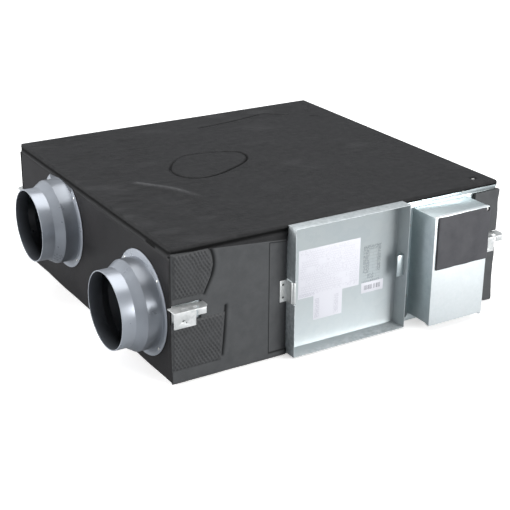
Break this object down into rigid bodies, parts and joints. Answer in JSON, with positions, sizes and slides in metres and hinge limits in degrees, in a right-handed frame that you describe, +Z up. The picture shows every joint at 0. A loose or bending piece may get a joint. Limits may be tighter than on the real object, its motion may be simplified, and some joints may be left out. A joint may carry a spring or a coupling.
{
  "type": "heat recovery unit",
  "caption": "Flat ceiling-hung heat recovery ventilator: foam-wrapped sheet steel casing, stepped round duct collars, hinged maintenance cover, side control box and hanger brackets.",
  "frame": {"origin": "middle of the casing's flat underside", "axes": "+Z up, -Y the service side with the maintenance cover and control box, -X the side with the exhaust and outdoor air collars, +X the side with the supply and return air collars"},
  "size_m": [1.022, 0.924, 0.3],
  "materials": {
    "galvanised_steel": "satin",
    "black_foam": "matte",
    "grey_plastic": "satin",
    "label_film": "matte",
    "zinc_screws": "satin",
    "exchanger_paper": "matte",
    "filter_fleece": "matte",
    "rail_aluminium": "satin",
    "chamber_plastic": "matte",
    "fan_plastic": "satin",
    "motor_paint": "satin",
    "shaft_steel": "polished",
    "white_plastic": "satin",
    "board_green": "gloss",
    "grommet_rubber": "matte"
  },
  "bodies": {
    "casing": {"base_pan": "galvanised_steel", "top_panel": "galvanised_steel", "left_panel": "galvanised_steel", "right_panel": "galvanised_steel", "rear_panel": "galvanised_steel", "front_left_panel": "galvanised_steel", "front_right_panel": "galvanised_steel", "front_left_hanger": "galvanised_steel", "front_right_hanger": "galvanised_steel", "rear_left_hanger": "galvanised_steel", "rear_right_hanger": "galvanised_steel", "hinge_bracket": "galvanised_steel", "control_box": "galvanised_steel", "control_box_lid": "galvanised_steel", "core_end_plate": "galvanised_steel", "damper_frame": "galvanised_steel", "fan_legs": "galvanised_steel", "top_foam": "black_foam", "left_foam": "black_foam", "right_foam": "black_foam", "rear_foam": "black_foam", "front_foam": "black_foam", "quilted_patches": "black_foam", "front_right_foam": "black_foam", "control_box_pad": "black_foam", "cover_seal": "black_foam", "exhaust_collar": "grey_plastic", "outdoor_collar": "grey_plastic", "supply_collar": "grey_plastic", "return_collar": "grey_plastic", "casing_screws": "zinc_screws", "collar_screws": "zinc_screws", "front_core": "exchanger_paper", "rear_core": "exchanger_paper", "outdoor_filter": "filter_fleece", "return_filter": "filter_fleece", "bottom_rail": "rail_aluminium", "right_rail": "rail_aluminium", "top_rail": "rail_aluminium", "left_rail": "rail_aluminium", "left_partition": "chamber_plastic", "right_partition": "chamber_plastic", "exhaust_scroll": "chamber_plastic", "supply_scroll": "chamber_plastic", "exhaust_motor": "motor_paint", "supply_motor": "motor_paint", "damper_motor": "white_plastic", "terminal_block": "white_plastic", "circuit_board": "board_green", "cable_grommet": "grommet_rubber"},
    "cover": {"maintenance_cover": "galvanised_steel", "cover_catch": "galvanised_steel", "cover_labels": "label_film", "hinge_pin": "zinc_screws"},
    "exhaust_rotor": {"exhaust_impeller": "fan_plastic", "exhaust_shaft": "shaft_steel"},
    "supply_rotor": {"supply_impeller": "fan_plastic", "supply_shaft": "shaft_steel"},
    "damper": {"damper_flap": "fan_plastic", "damper_shaft": "shaft_steel"}
  },
  "joints": [
    {"name": "cover_hinge", "type": "hinge", "parent": "casing", "child": "cover", "pos_m": [-0.1435, -0.424, 0.151], "axis": [0, 0, -1], "range_deg": [0, 110]},
    {"name": "exhaust_fan_spin", "type": "hinge", "parent": "casing", "child": "exhaust_rotor", "pos_m": [-0.28, -0.2, 0.15], "axis": [0, 0, 1], "continuous": true},
    {"name": "supply_fan_spin", "type": "hinge", "parent": "casing", "child": "supply_rotor", "pos_m": [0.28, -0.2, 0.15], "axis": [0, 0, 1], "continuous": true},
    {"name": "bypass_damper_turn", "type": "hinge", "parent": "casing", "child": "damper", "pos_m": [0.149, 0.3665, 0.2], "axis": [0, 0, 1], "range_deg": [0, 90]}
  ]
}
